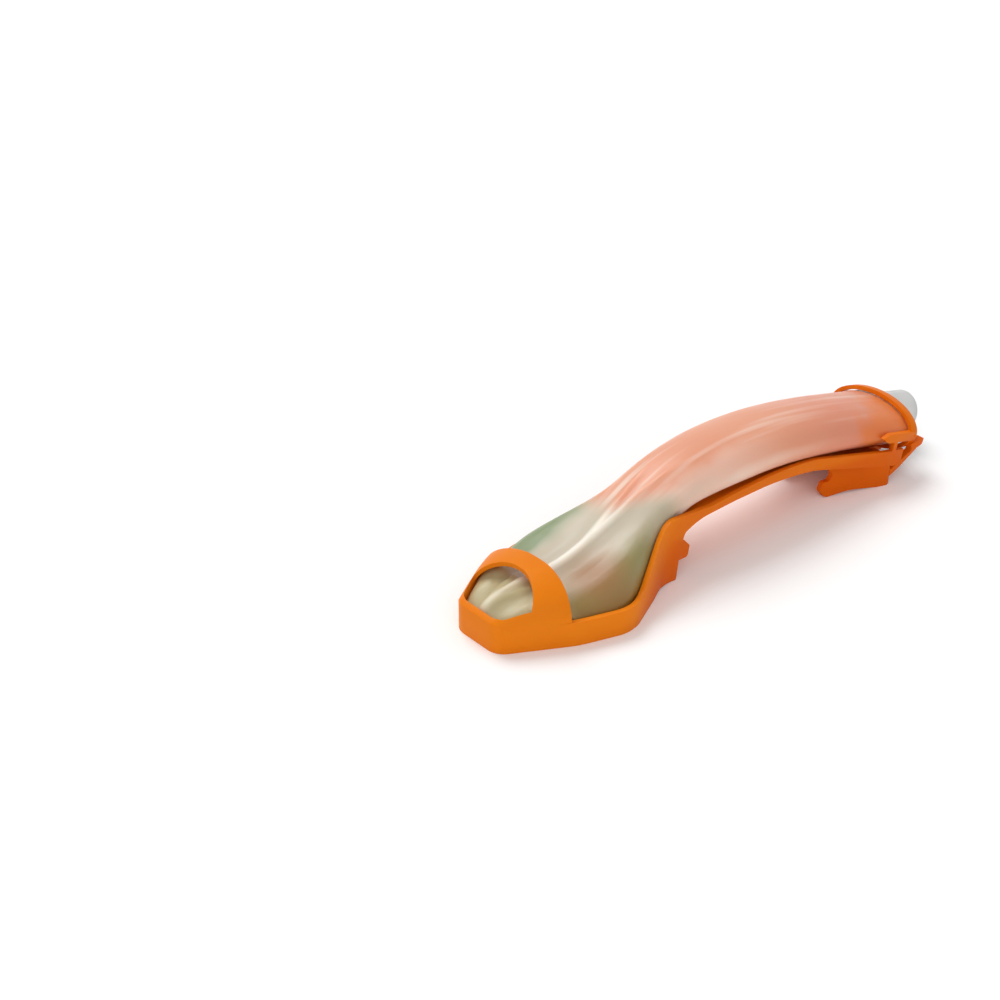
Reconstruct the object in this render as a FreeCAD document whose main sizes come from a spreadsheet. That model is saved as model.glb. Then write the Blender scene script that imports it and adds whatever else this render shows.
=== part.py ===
import FreeCAD, Part
import Sketcher
import math
import os

# A supraglottic airway lying in its moulded cradle, in millimetres.
# The cuff tip points to -X, the breathing connector to +X, and +Z is up.
# The part stands on the cradle's tray and foot, with its origin under the middle.

Vector = FreeCAD.Vector
doc = FreeCAD.newDocument("supraglottic_airway")
sheet = doc.addObject("Spreadsheet::Sheet", "Sizes")


# Driving sizes: lengths in millimetres, angles in degrees

SIZES = [
    # The cradle seen from above, as half widths and places from the nose
    ("nose_half", 10.2),
    ("nose_round", 7.0),
    ("shoulder_half", 23.2),
    ("shoulder_at", 24.0),
    ("shoulder_round", 30.0),
    ("tray_half", 28.9),
    ("tray_widest_at", 43.0),
    ("tray_round", 14.0),
    ("panel_half", 15.6),
    ("panel_at", 68.5),
    ("spine_half", 14.2),
    ("spine_from", 104.0),
    ("flare_from", 143.0),
    ("flare_to", 176.0),
    ("flare_half", 19.4),
    ("plan_round", 20.0),
    # The cradle seen from the side
    ("wall", 1.8),
    ("floor_thick", 1.6),
    ("tray_rim", 9.0),
    ("ramp_from", 49.0),
    ("ramp_angle", 30.0),
    ("ramp_round", 30.0),
    ("crown_height", 19.7),
    ("crown_to", 131.4),
    ("front_arch", 26.0),
    ("rear_arch", 150.0),
    ("tail_angle", 14.5),
    ("tail_to", 183.5),
    ("front_rim", 2.7),
    ("middle_rim", 3.6),
    ("tail_rim", 6.3),
    ("front_rim_at", 92.0),
    ("panel_rim", 5.0),
    ("panel_rise_from", 50.0),
    ("panel_rise_to", 70.5),
    ("rim_round", 9.0),
    # The lug and the bracket at the back of each side panel
    ("lug_from", 66.0),
    ("lug_at", 75.0),
    ("lug_back", 77.0),
    ("bracket_long", 4.0),
    ("bracket_wide", 3.0),
    ("bracket_low", 7.2),
    ("bracket_tall", 7.0),
    # The band across the cuff tip and the window in front of it
    ("hood_spring", 9.0),
    ("hood_rise", 12.0),
    ("nose_rim", 10.8),
    ("hood_top_at", 17.0),
    ("hood_front_rise", 2.0),
    ("band_rear", 26.8),
    ("band_rear_round", 52.0),
    ("window_rear", 18.7),
    ("window_round", 17.8),
    # The foot under the tail
    ("foot_from", 155.0),
    ("toe_at", 151.4),
    ("toe_tall", 6.6),
    ("foot_arch", 1.4),
    ("foot_to", 179.5),
    ("foot_front_half", 10.4),
    ("foot_rear_half", 20.2),
    ("heel_round", 4.0),
    # The hoop round the connector end, its clips and its pull tabs
    ("hoop_ahead", 4.0),
    ("hoop_tall", 10.0),
    ("hoop_thick", 1.6),
    ("hoop_long", 3.2),
    ("clip_long", 17.0),
    ("clip_tall", 3.4),
    ("strut_wide", 2.0),
    ("strut_at", 8.5),
    ("tab_long", 6.2),
    ("tab_thick", 2.0),
    ("tab_wide", 2.6),
    # The soft airway
    ("soft_gap", 0.3),
    ("arch_gap", 0.55),
    ("stem_half_wide", 15.0),
    ("stem_half_tall", 9.0),
    ("end_half_wide", 17.2),
    ("end_half_tall", 7.9),
    ("cuff_tip_at", 3.2),
    ("cuff_long", 100.0),
    ("cuff_side_gap", 0.7),
    ("bowl_long", 40.0),
    ("bowl_wide", 25.0),
    ("bowl_deep", 7.5),
    ("bowl_at", 36.0),
    ("airway_bore", 9.0),
    ("airway_offset", 2.5),
    ("throat_at", 66.0),
    ("throat_height", 18.6),
    ("gastric_bore", 3.2),
    ("gastric_offset", 10.0),
    ("gastric_height", 5.4),
    # The connector
    ("flange_thick", 2.0),
    ("cone_long", 16.0),
    ("cone_end", 15.0),
    ("cone_taper", 40.0),
    ("cone_bore", 11.4),
    ("sleeve_long", 24.0),
    ("sleeve_half_wide", 12.6),
    ("sleeve_half_tall", 5.8),
    ("sleeve_gap", 0.2),
]

for row, (alias, number) in enumerate(SIZES, start=1):
    sheet.set(f"A{row}", alias)
    sheet.set(f"B{row}", str(number))
    sheet.setAlias(f"B{row}", alias)
doc.recompute()


# A value that carries its number and the sheet's formula for it

class Term:
    def __init__(self, number, text):
        self.number = number
        self.text = text

    def __add__(self, other):
        other = term(other)
        return Term(self.number + other.number, f"({self.text} + {other.text})")

    def __sub__(self, other):
        other = term(other)
        return Term(self.number - other.number, f"({self.text} - {other.text})")

    def __mul__(self, other):
        other = term(other)
        return Term(self.number * other.number, f"{self.text} * {other.text}")

    def __truediv__(self, other):
        other = term(other)
        return Term(self.number / other.number, f"{self.text} / {other.text}")

    def __neg__(self):
        return Term(-self.number, f"(-1 * {self.text})")


def term(value):
    return value if isinstance(value, Term) else Term(float(value), str(value))


def size(alias):
    return Term(float(sheet.get(alias)), f"Sizes.{alias}")


def sine(angle):
    return Term(math.sin(math.radians(angle.number)), f"sin({angle.text} * 1deg)")


def cosine(angle):
    return Term(math.cos(math.radians(angle.number)), f"cos({angle.text} * 1deg)")


def tangent(angle):
    return Term(math.tan(math.radians(angle.number)), f"tan({angle.text} * 1deg)")


def bind(thing, **places):
    for name, value in places.items():
        thing.setExpression(name.replace("__", "."), term(value).text)


# Planes for the sketches: local X and Y of a sketch lie along these axes

FLAT = FreeCAD.Rotation()
SIDE = FreeCAD.Rotation(Vector(1, 0, 0), 90)
ACROSS = FreeCAD.Rotation(Vector(1, 1, 1), 120)
ALONG_Y = Vector(0, 1, 0)
ALONG_Z = Vector(0, 0, 1)
ALONG_X = Vector(1, 0, 0)


def unit(a, b):
    return (b - a).normalize()


def outline(name, plane, corners):
    """A closed sketch through corners of (x, y, radius), each rounded where it has a radius."""
    sketch = doc.addObject("Sketcher::SketchObject", name)
    sketch.Placement = FreeCAD.Placement(Vector(), plane)
    corners = [(term(x), term(y), r if r is None else term(r)) for x, y, r in corners]
    spots = [Vector(x.number, y.number, 0) for x, y, r in corners]
    count = len(corners)
    starts, ends, arcs = [], [], []
    for i in range(count):
        before, here, after = spots[i - 1], spots[i], spots[(i + 1) % count]
        radius = corners[i][2]
        if radius is None:
            ends.append(here)
            starts.append(here)
            arcs.append(None)
            continue
        inward, outward = unit(here, before), unit(here, after)
        half = inward.getAngle(outward) / 2
        reach = radius.number / math.tan(half)
        first, last = here + inward * reach, here + outward * reach
        middle = (inward + outward).normalize()
        centre = here + middle * (radius.number / math.sin(half))
        ends.append(first)
        starts.append(last)
        # An arc runs counter-clockwise, so a right turn takes it from its far end
        left = outward.cross(inward).z > 0
        begin, finish = (first, last) if left else (last, first)
        begin_angle = math.atan2(begin.y - centre.y, begin.x - centre.x)
        finish_angle = math.atan2(finish.y - centre.y, finish.x - centre.x)
        circle = Part.Circle(centre, ALONG_Z, radius.number)
        arcs.append((Part.ArcOfCircle(circle, begin_angle, finish_angle), left))
    lines = []
    for i in range(count):
        after = (i + 1) % count
        lines.append(sketch.addGeometry(Part.LineSegment(starts[i], ends[after])))

    def pin(geometry, point, x, y):
        """Ties a point of the sketch to its two sizes."""
        for kind, value in (("DistanceX", x), ("DistanceY", y)):
            number = sketch.addConstraint(
                Sketcher.Constraint(kind, -1, 1, geometry, point, value.number))
            sketch.setExpression(f"Constraints[{number}]", value.text)

    for i in range(count):
        before = lines[i - 1]
        x, y, radius = corners[i]
        if radius is None:
            sketch.addConstraint(Sketcher.Constraint("Coincident", before, 2, lines[i], 1))
            pin(lines[i], 1, x, y)
            continue
        shape, left = arcs[i]
        arc = sketch.addGeometry(shape)
        near, far = (1, 2) if left else (2, 1)
        sketch.addConstraint(Sketcher.Constraint("Tangent", before, 2, arc, near))
        sketch.addConstraint(Sketcher.Constraint("Tangent", arc, far, lines[i], 1))
        number = sketch.addConstraint(Sketcher.Constraint("Radius", arc, radius.number))
        sketch.setExpression(f"Constraints[{number}]", radius.text)
        point = sketch.addGeometry(Part.Point(spots[i]), True)
        sketch.addConstraint(Sketcher.Constraint("PointOnObject", point, 1, before))
        sketch.addConstraint(Sketcher.Constraint("PointOnObject", point, 1, lines[i]))
        pin(point, 1, x, y)
    return sketch


def extrusion(name, base, direction, length, both=False):
    solid = doc.addObject("Part::Extrusion", name)
    solid.Base = base
    solid.DirMode = "Custom"
    solid.Dir = direction
    solid.Solid = True
    solid.Symmetric = both
    bind(solid, LengthFwd=length)
    return solid


def combine(kind, name, shapes):
    """Part::Cut takes two shapes, Part::MultiFuse and Part::MultiCommon take several."""
    result = doc.addObject(kind, name)
    if kind == "Part::Cut":
        result.Base, result.Tool = shapes
    else:
        result.Shapes = shapes
    return result


# The spine's line seen from the side, and lines parallel to it

S = {alias: size(alias) for alias, number in SIZES}
half_ramp = S["ramp_angle"] / 2
half_tail = S["tail_angle"] / 2
crown_from = S["ramp_from"] + S["crown_height"] / tangent(S["ramp_angle"])
tail_low = S["crown_height"] - (S["tail_to"] - S["crown_to"]) * tangent(S["tail_angle"])


def spine_line(lift, ahead=0):
    """The flat, the ramp, the crown and the tail, raised square to themselves by lift."""
    lift, ahead = term(lift), term(ahead)
    return [
        (S["ramp_from"] - lift * tangent(half_ramp), lift, S["ramp_round"] - lift),
        (crown_from - lift * tangent(half_ramp), S["crown_height"] + lift, S["front_arch"] + lift),
        (S["crown_to"] + lift * tangent(half_tail), S["crown_height"] + lift, S["rear_arch"] + lift),
        (S["tail_to"] + lift * sine(S["tail_angle"]) + ahead * cosine(S["tail_angle"]),
         tail_low + lift * cosine(S["tail_angle"]) - ahead * sine(S["tail_angle"]), None),
    ]


stem_lift = S["floor_thick"] + S["soft_gap"] + S["stem_half_tall"]
hoop_x, hoop_z, _ = spine_line(stem_lift, S["hoop_ahead"])[3]
before_nose = term(-2)
far_above = term(60)

# The cradle's walls: an even band round the plan, kept between the side outlines

plan_end = hoop_x + 12


def both_sides(half):
    """Plan corners of one side, and the same corners mirrored and in reverse order."""
    return half + [(x, -y, r) for x, y, r in reversed(half)]


plan = outline("cradle_plan", FLAT, both_sides([
    (term(0), S["nose_half"], S["nose_round"]),
    (S["shoulder_at"], S["shoulder_half"], S["shoulder_round"]),
    (S["tray_widest_at"], S["tray_half"], S["tray_round"]),
    (S["panel_at"], S["panel_half"], S["plan_round"]),
    (S["spine_from"], S["spine_half"], S["plan_round"] * 3),
    (S["flare_from"], S["spine_half"], S["plan_round"]),
    (S["flare_to"], S["flare_half"], S["plan_round"]),
    (plan_end, S["flare_half"], None),
]))
plan_inside = doc.addObject("Part::Offset2D", "cradle_plan_inside")
plan_inside.Source = plan
bind(plan_inside, Value=-S["wall"])

outer_block = extrusion("cradle_outer_block", plan, ALONG_Z, far_above)
inner_block = extrusion("cradle_inner_block", plan_inside, ALONG_Z, far_above)
wall_band = combine("Part::Cut", "cradle_wall_band", [outer_block, inner_block])

walls_side = outline("walls_side", SIDE, (
    [(before_nose, 0, None)]
    + spine_line(0)
    + [spine_line(S["tail_rim"])[3], spine_line(S["middle_rim"])[2]]
    + [(S["front_rim_at"], S["crown_height"] + S["front_rim"], S["ramp_round"]),
       (S["panel_rise_to"], S["crown_height"] + S["panel_rim"], S["rim_round"]),
       (S["panel_rise_from"], S["tray_rim"], S["rim_round"]),
       (before_nose, S["tray_rim"], None)]))


# The side panels stand on the table from the tray to the lug, and end in an upright edge

panel_side = outline("panel_side", SIDE, [
    (S["ramp_from"] - 4, 0, None),
    (S["lug_from"] - 6, 0, 8),
    (S["lug_from"], 0.9, 8),
    (S["lug_at"], 0, None),
    (S["lug_back"] - 0.8, S["bracket_low"] + 1, None),
    (S["lug_back"] + 1.4, S["crown_height"] - 2.4, 4),
    (S["lug_back"] + 9, S["crown_height"] + 0.8, None),
    (S["lug_from"] + 3, S["crown_height"], None),
    (S["ramp_from"] - 4, S["tray_rim"] / 2, None),
])

# The clips reach from the hoop along the stem's sides, each with a strut under it

hoop_place = FreeCAD.Placement(
    Vector(hoop_x.number, 0, hoop_z.number),
    FreeCAD.Rotation(Vector(0, 1, 0), S["tail_angle"].number))


def at_hoop(thing, ahead=0, beside=0, lift=0):
    """Places a thing in the hoop's own frame: ahead runs out of the connector end."""
    ahead, beside, lift = term(ahead), term(beside), term(lift)
    thing.Placement = hoop_place
    tilt = S["tail_angle"]
    thing.setExpression("Placement.Base.x", (hoop_x + ahead * cosine(tilt) + lift * sine(tilt)).text)
    thing.setExpression("Placement.Base.y", beside.text)
    thing.setExpression("Placement.Base.z", (hoop_z - ahead * sine(tilt) + lift * cosine(tilt)).text)
    thing.setExpression("Placement.Rotation.Angle", f"{tilt.text} * 1deg")


gutter_top = S["tail_rim"] - stem_lift


def in_hoop_frame(corners):
    """Side corners given along and across the stem's end, turned into side corners."""
    tilt = S["tail_angle"]
    return [(hoop_x + term(u) * cosine(tilt) + term(v) * sine(tilt),
             hoop_z - term(u) * sine(tilt) + term(v) * cosine(tilt), r) for u, v, r in corners]


strut_far = S["strut_at"] + S["strut_wide"]
clip_low = -S["clip_tall"] / 2
clip_side = outline("clip_side", SIDE, in_hoop_frame([
    (0, S["clip_tall"] / 2, None),
    (-S["clip_long"] + 3, S["clip_tall"] / 2, None),
    (-S["clip_long"], 0, None),
    (-S["clip_long"] + 3, clip_low, None),
    (-strut_far, clip_low, None),
    (-strut_far, gutter_top - 2, None),
    (-S["strut_at"], gutter_top - 2, None),
    (-S["strut_at"], clip_low, None),
    (0, clip_low, None),
]))

side_blocks = combine("Part::MultiFuse", "side_blocks", [
    extrusion("walls_block", walls_side, ALONG_Y, 90, both=True),
    extrusion("panel_block", panel_side, ALONG_Y, 90, both=True),
    extrusion("clip_block", clip_side, ALONG_Y, 90, both=True),
])
walls = combine("Part::MultiCommon", "cradle_walls", [wall_band, side_blocks])

# The cradle's floor: one even strip along the flat, up the ramp and down the tail

top_line = spine_line(S["floor_thick"])
floor_side = outline("floor_side", SIDE, (
    [(before_nose, 0, None)] + spine_line(0) + top_line[::-1]
    + [(before_nose, S["floor_thick"], None)]))
floor = combine("Part::MultiCommon", "cradle_floor", [
    extrusion("floor_plan_block", plan, ALONG_Z, far_above),
    extrusion("floor_block", floor_side, ALONG_Y, 90, both=True),
])

# The band over the cuff tip: an arched roof, open at the window and behind the band

hood_side = outline("hood_side", SIDE, [
    (before_nose, S["hood_spring"] - 0.1, None),
    (S["band_rear"] + 8, S["hood_spring"] - 0.1, None),
    (S["band_rear"] + 8, S["hood_spring"] + S["hood_rise"], None),
    (S["hood_top_at"], S["hood_spring"] + S["hood_rise"], 10),
    (0, S["nose_rim"], None),
    (before_nose, S["nose_rim"], None),
])


def ellipse(name, plane, x, y, z, half_long, half_short):
    ring = doc.addObject("Part::Ellipse", name)
    ring.Placement = FreeCAD.Placement(Vector(), plane)
    bind(ring, MajorRadius=half_long, MinorRadius=half_short)
    bind(ring, Placement__Base__x=x, Placement__Base__y=y, Placement__Base__z=z)
    return ring


def wall_half(x):
    """The tray's outer half width between the nose and its widest place."""
    x = term(x)
    if x.number <= S["shoulder_at"].number:
        share = x / S["shoulder_at"]
        return S["nose_half"] + (S["shoulder_half"] - S["nose_half"]) * share
    share = (x - S["shoulder_at"]) / (S["tray_widest_at"] - S["shoulder_at"])
    return S["shoulder_half"] + (S["tray_half"] - S["shoulder_half"]) * share


def arch(name, inset):
    """A roof that springs upright from the tray's walls all the way along."""
    rings = []
    rear = S["band_rear"] + 1.5
    for number, (x, half, rise) in enumerate([
            (term(-0.5), wall_half(-0.5), S["hood_front_rise"]),
            (S["hood_top_at"] * 0.5, wall_half(S["hood_top_at"] * 0.5), S["hood_rise"] * 0.72),
            (S["hood_top_at"], wall_half(S["hood_top_at"]), S["hood_rise"] * 0.98),
            (rear, wall_half(rear), S["hood_rise"])]):
        ring = ellipse(f"{name}_ring_{number}", ACROSS, x, 0, S["hood_spring"],
                       half - inset, rise - inset)
        rings.append(ring)
    roof = doc.addObject("Part::Loft", name)
    roof.Sections = rings
    roof.Solid = True
    return roof


def drum(name, rear, radius):
    """An upright drum whose rearmost line is at the given place."""
    solid = doc.addObject("Part::Cylinder", name)
    bind(solid, Radius=radius, Height=far_above, Placement__Base__x=rear - radius)
    return solid


hood_outer = combine("Part::MultiCommon", "hood_outer", [
    extrusion("hood_plan_block", plan, ALONG_Z, far_above),
    arch("hood_arch", 0),
    extrusion("hood_block", hood_side, ALONG_Y, 90, both=True),
    drum("band_rear_drum", S["band_rear"], S["band_rear_round"]),
])
hood_inner = combine("Part::MultiCommon", "hood_inner", [
    extrusion("hood_inner_block", plan_inside, ALONG_Z, far_above),
    arch("hood_inner_arch", S["floor_thick"]),
])
window = combine("Part::MultiCommon", "window", [
    extrusion("window_block", plan_inside, ALONG_Z, far_above),
    drum("window_drum", S["window_rear"], S["window_round"]),
])
hood_open = combine("Part::MultiFuse", "hood_open", [hood_inner, window])
hood = combine("Part::Cut", "hood", [hood_outer, hood_open])

# The foot: a skirt under the tail, open towards the cuff, with a toe on each side

foot_splay = (S["foot_rear_half"] - S["foot_front_half"]) / (S["foot_to"] - S["toe_at"])
foot_ahead = S["toe_at"] - 6
foot_plan = outline("foot_plan", FLAT, both_sides([
    (foot_ahead, S["foot_front_half"] - foot_splay * 6, None),
    (S["foot_to"], S["foot_rear_half"], S["heel_round"] / 2),
]))
foot_inside = doc.addObject("Part::Offset2D", "foot_plan_inside")
foot_inside.Source = foot_plan
bind(foot_inside, Value=-S["wall"])
foot_band = combine("Part::Cut", "foot_band", [
    extrusion("foot_outer_block", foot_plan, ALONG_Z, far_above),
    extrusion("foot_inner_block", foot_inside, ALONG_Z, far_above),
])


def tail_height(x):
    return tail_low + (S["tail_to"] - x) * tangent(S["tail_angle"])


foot_middle = (S["toe_at"] + S["foot_to"]) / 2
foot_side = outline("foot_side", SIDE, [
    (S["toe_at"] + 2.2, 0, 1.5),
    (foot_middle - 3, S["foot_arch"], 30),
    (foot_middle + 8, 0, None),
    (S["foot_to"] + 1, 0, S["heel_round"]),
    (S["foot_to"] + 1, tail_height(S["foot_to"] + 1) + 1.2, None),
    (S["foot_from"] - 3, tail_height(S["foot_from"] - 3) + 1.2, None),
    (S["foot_from"] + 1, S["toe_tall"] + 2.4, 2),
    (S["foot_from"] - 0.5, S["toe_tall"], 1),
    (S["toe_at"] + 1, S["toe_tall"], 1.2),
    (S["toe_at"], S["toe_tall"] / 2, 1.5),
])
foot = combine("Part::MultiCommon", "foot", [
    foot_band, extrusion("foot_block", foot_side, ALONG_Y, 90, both=True)])

# The hoop, its tongue to the floor, and the pull tabs with their curved straps

hoop_outer = extrusion("hoop_outer", ellipse(
    "hoop_ring", ACROSS, 0, 0, 0, S["flare_half"], S["hoop_tall"]), ALONG_X, S["hoop_long"])
hoop_hole = extrusion("hoop_hole", ellipse(
    "hoop_hole_ring", ACROSS, -5, 0, 0, S["flare_half"] - S["hoop_thick"],
    S["hoop_tall"] - S["hoop_thick"]), ALONG_X, S["hoop_long"] + 10)
hoop = combine("Part::Cut", "hoop", [hoop_outer, hoop_hole])
at_hoop(hoop, ahead=-S["hoop_long"] / 2)

tongue = doc.addObject("Part::Box", "tongue")
bind(tongue, Length=S["hoop_ahead"] + 3, Width=S["spine_half"], Height=S["floor_thick"])
at_hoop(tongue, ahead=-S["hoop_ahead"] - 3, beside=-S["spine_half"] / 2, lift=-stem_lift + 0.6)

tab_low = hoop_z - 5.2
tab_side = outline("tab_side", SIDE, [
    (hoop_x - 1, tab_low + S["tab_thick"], None),
    (hoop_x + S["tab_long"], tab_low + S["tab_thick"] + 0.6, 0.6),
    (hoop_x + S["tab_long"] - 1, tab_low, 0.6),
    (hoop_x + 2.4, tab_low - 0.6, 1.5),
    (S["foot_to"] + 3.6, hoop_z - 10.6, 3),
    (S["foot_to"] - 1, hoop_z - 12.4, None),
    (S["foot_to"] - 1, hoop_z - 10.0, None),
    (S["foot_to"] + 2.4, hoop_z - 8.6, 2),
    (hoop_x - 0.4, tab_low - 0.6, 1),
])


def pair(name, sketch, width, inner):
    """The same plate on both sides of the cradle."""
    plates = []
    for side, start in (("near", -(inner + width)), ("far", inner)):
        plate = extrusion(f"{name}_{side}", sketch, ALONG_Y, width)
        bind(plate, Placement__Base__y=start)
        plates.append(plate)
    return plates


tabs = pair("tab", tab_side, S["tab_wide"], S["flare_half"] - S["tab_wide"])
bracket_side = outline("bracket_side", SIDE, [
    (S["lug_back"] - 4, S["bracket_low"] + 1.6, None),
    (S["lug_back"] - 0.6, S["bracket_low"], None),
    (S["lug_back"] + S["bracket_long"] - 0.8, S["bracket_low"], 1),
    (S["lug_back"] + S["bracket_long"], S["bracket_low"] + S["bracket_tall"] * 0.6, 1.2),
    (S["lug_back"] + 1, S["bracket_low"] + S["bracket_tall"] + 0.6, 1),
    (S["lug_back"] - 4, S["bracket_low"] + S["bracket_tall"] + 0.6, None),
])
brackets = pair("bracket", bracket_side, S["bracket_wide"], S["panel_half"] - S["bracket_wide"] - 0.4)

cradle = combine("Part::MultiFuse", "protective_cradle", [
    walls, floor, hood, foot, hoop, tongue] + tabs + brackets)
cradle.Label = "protective_cradle"


# The connector: a cone, an oval flange and a sleeve that stiffens the stem inside

cone_from = S["soft_gap"] + S["hoop_long"] / 2 + S["flange_thick"]
cone = doc.addObject("Part::Cone", "cone")
cone.Placement = FreeCAD.Placement(Vector(), FreeCAD.Rotation(ALONG_Y, 90))
cone_tip = cone_from + S["cone_long"]
bind(cone, Radius1=S["cone_end"] / 2 + S["cone_long"] / S["cone_taper"] / 2,
     Radius2=S["cone_end"] / 2, Height=S["cone_long"],
     Placement__Base__x=cone_from, Placement__Base__y=S["airway_offset"])
flange_from = cone_from - S["flange_thick"]
flange = extrusion("flange", ellipse(
    "flange_ring", ACROSS, flange_from, 0, 0, S["end_half_wide"] - 0.8,
    S["hoop_tall"] - S["hoop_thick"] - 0.2), ALONG_X, S["flange_thick"])
sleeve = extrusion("sleeve", ellipse(
    "sleeve_ring", ACROSS, flange_from - S["sleeve_long"], 0, 0,
    S["sleeve_half_wide"], S["sleeve_half_tall"]), ALONG_X, S["sleeve_long"] + 0.5)
connector_solid = combine("Part::MultiFuse", "connector_solid", [cone, flange, sleeve])


def bore(name, diameter, beside, start, length):
    solid = doc.addObject("Part::Cylinder", name)
    solid.Placement = FreeCAD.Placement(Vector(), FreeCAD.Rotation(ALONG_Y, 90))
    bind(solid, Radius=diameter / 2, Height=length,
         Placement__Base__x=start, Placement__Base__y=beside)
    return solid


sleeve_start = flange_from - S["sleeve_long"] - 1
connector_bores = combine("Part::MultiFuse", "connector_bores", [
    bore("cone_bore", S["cone_bore"], S["airway_offset"], flange_from, S["cone_long"] + 9),
    bore("airway_bore", S["airway_bore"], S["airway_offset"], sleeve_start, S["sleeve_long"] + 3),
    bore("gastric_bore", S["gastric_bore"], -S["gastric_offset"], sleeve_start,
         S["sleeve_long"] + 9),
])
connector = combine("Part::Cut", "connector", [connector_solid, connector_bores])
connector.Label = "connector"

doc.recompute()


# The soft airway: a smooth skin over rings from the cuff tip to the connector end

RING_POLES = 14
# A smooth skin passes inside its poles, so that they stand out by this much
POLE_REACH = 3 / (2 + math.cos(2 * math.pi / RING_POLES))
# The ridge's width as a share of the cuff's
RIDGE_SHARE = 0.22
# The rings where one stretch of the skin meets the next
SKIN_JOINTS = (0, 2, 5, 8, 10, 12)
# A reading every millimetre along the stem's line
STEM_STEP = 1.0


def rounded_path(points, radii):
    """Straight runs through the points, joined by tangent arcs at the inner points."""
    edges = []
    last = points[0]
    for i in range(1, len(points) - 1):
        here = points[i]
        inward, outward = unit(here, points[i - 1]), unit(here, points[i + 1])
        half = inward.getAngle(outward) / 2
        reach = radii[i - 1] / math.tan(half)
        middle = (inward + outward).normalize()
        top = here + middle * (radii[i - 1] / math.sin(half) - radii[i - 1])
        first, second = here + inward * reach, here + outward * reach
        edges.append(Part.LineSegment(last, first).toShape())
        edges.append(Part.Arc(first, top, second).toShape())
        last = second
    edges.append(Part.LineSegment(last, points[-1]).toShape())
    return Part.Wire(edges)


def stem_path(beside):
    line = spine_line(stem_lift, S["hoop_ahead"])
    return [Vector(x.number, beside, z.number) for x, z, r in line]


def blend(value, table):
    """A smooth reading of a short table of (place, value) rows."""
    places = [row[0] for row in table]
    values = [row[1] for row in table]
    if value <= places[0]:
        return values[0]
    if value >= places[-1]:
        return values[-1]
    i = max(k for k in range(len(table) - 1) if places[k] <= value)
    run = places[i + 1] - places[i]

    def slope(k):
        low, high = max(k - 1, 0), min(k + 1, len(table) - 1)
        return (values[high] - values[low]) / (places[high] - places[low])

    t = (value - places[i]) / run
    return (values[i] * (1 + 2 * t) * (1 - t) ** 2 + values[i + 1] * (3 - 2 * t) * t ** 2
            + slope(i) * run * t * (1 - t) ** 2 - slope(i + 1) * run * (1 - t) * t ** 2)


def ring_of_poles(centre, tilt, half_wide, up, down, top_power=2.0, low_power=2.0, ridge=0.0):
    """An oval whose two halves have their own height and fullness, with a ridge on top."""
    poles = []
    for step in range(RING_POLES):
        angle = 2 * math.pi * step / RING_POLES - math.pi / 2
        power = 2 / (top_power if math.sin(angle) > 0 else low_power)
        y = math.copysign(abs(math.cos(angle)) ** power, math.cos(angle)) * half_wide
        v = math.copysign(abs(math.sin(angle)) ** power, math.sin(angle))
        v = v * (up if v > 0 else down) * POLE_REACH
        if math.sin(angle) > 0:
            v += ridge * math.exp(-(y / (half_wide * RIDGE_SHARE)) ** 2)
        poles.append(Vector(centre.x + v * math.sin(tilt), y * POLE_REACH,
                            centre.z + v * math.cos(tilt)))
    return poles


def skin_solid(rings):
    """A smooth closed skin over the rings, with flat ends."""
    count = len(rings)
    skin = Part.BSplineSurface()
    skin.buildFromPolesMultsKnots(
        rings, [4] + [1] * (count - 4) + [4], [1] * (RING_POLES + 1),
        list(range(count - 2)), list(range(RING_POLES + 1)), False, True, 3, 3)
    last = count - 3
    faces = [Part.Face(Part.Wire(skin.uIso(place).toShape())) for place in (0, last)]
    for start, finish in zip(SKIN_JOINTS, SKIN_JOINTS[1:] + (last,)):
        stretch = skin.copy()
        stretch.segment(start, finish, 0, RING_POLES)
        faces += stretch.toShape().Faces
    shell = Part.Shell(faces)
    shell.sewShape()
    solid = Part.Solid(Part.Shell(shell.Faces))
    if solid.Volume < 0:
        solid.reverse()
    return solid


def room_inside(x):
    """Half the room between the cradle's walls, for the cuff to follow."""
    shoulder, widest = S["shoulder_at"].number, S["tray_widest_at"].number
    panel = S["panel_at"].number
    step = (panel - widest) / 5
    half = blend(x, [
        (0, S["nose_half"].number),
        (shoulder / 2, wall_half(S["shoulder_at"] / 2).number),
        (shoulder, S["shoulder_half"].number - 0.4),
        (widest - step / 2, S["tray_half"].number - 1.8),
        (widest + step, S["tray_half"].number - 3.2),
        (widest + step * 2.8, S["tray_half"].number - 8.2),
        (panel, S["panel_half"].number - 0.5),
        (panel + step * 1.6, S["panel_half"].number - 0.8),
        (S["spine_from"].number, S["spine_half"].number + 2.6),
    ])
    return half - S["wall"].number - S["cuff_side_gap"].number


def floor_height(x):
    """The height of the floor's upper face."""
    rise = (x - S["ramp_from"].number) * math.tan(math.radians(S["ramp_angle"].number))
    return S["floor_thick"].number + min(S["crown_height"].number, max(0.0, rise + 1.1))


# Readings along the cuff: the place is a share of the cuff's length

TIP = S["cuff_tip_at"].number / S["cuff_long"].number
CUFF_STATIONS = (TIP, TIP + 0.012, TIP + 0.05, 0.18, 0.28, 0.38, 0.47, 0.57, 0.67, 0.78, 0.91)
# The crest's height as a share of the stem's top
CREST = [(TIP, 0.26), (0.10, 0.348), (0.20, 0.364), (0.30, 0.374), (0.38, 0.399), (0.46, 0.462),
         (0.56, 0.586), (0.66, 0.737), (0.77, 0.879), (0.90, 0.972), (1.04, 1.0)]
# The widest line's height as a share of the section's
WAIST = [(0, 0.42), (0.40, 0.4), (0.76, 0.48), (0.90, 0.46)]
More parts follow.
